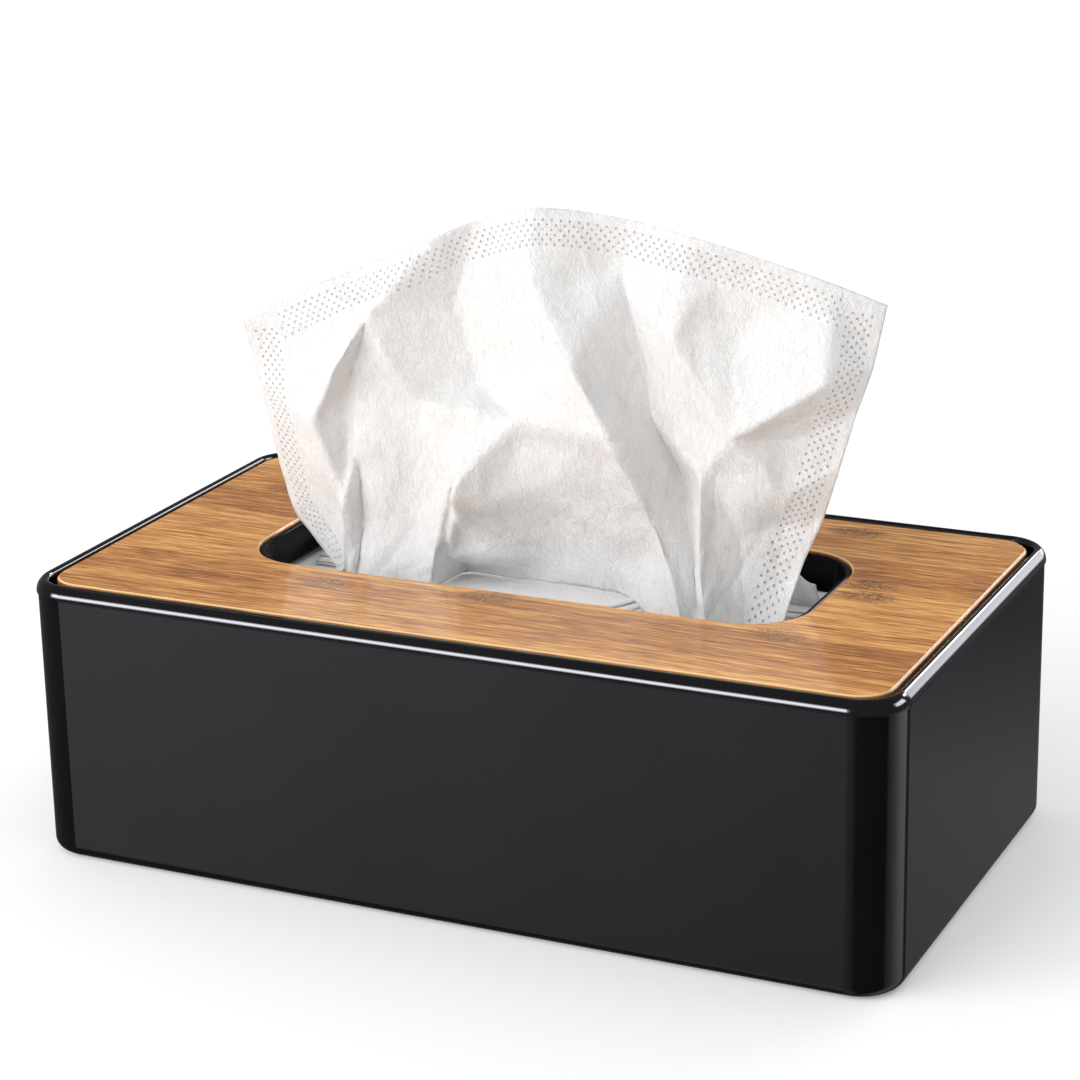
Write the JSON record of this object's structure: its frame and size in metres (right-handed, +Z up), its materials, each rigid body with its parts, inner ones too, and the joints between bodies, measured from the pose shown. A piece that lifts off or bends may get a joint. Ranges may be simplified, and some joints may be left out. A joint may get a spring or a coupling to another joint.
{
  "type": "tissue box",
  "caption": "Oblong tissue box: a gloss moulded tub with a beaded rim, a lift-off bamboo lid with a collared slot, and folded tissues with one sheet drawn up through the slot.",
  "frame": {"origin": "centre of the tub's footprint, on the surface that it stands on", "axes": "+X along the box's length, +Y from the front towards the back, +Z up"},
  "size_m": [0.25, 0.14, 0.1783],
  "materials": {
    "black_plastic": "high gloss moulded black",
    "collar_plastic": "polished black",
    "bamboo": "satin varnished, fine grain along the box",
    "stack_paper": "soft layered tissue",
    "tissue_paper": "soft fibrous tissue with embossed dot bands"
  },
  "bodies": {
    "box": {"tub": "black_plastic", "tissue_stack": "stack_paper", "next_tissue": "tissue_paper"},
    "lid": {"bamboo_lid": "bamboo", "slot_collar": "collar_plastic", "pulled_tissue": "tissue_paper"}
  },
  "joints": [
    {"name": "lid_lift", "type": "slide", "parent": "box", "child": "lid", "axis": [0, 0, 1], "range_m": [0, 0.12]}
  ]
}
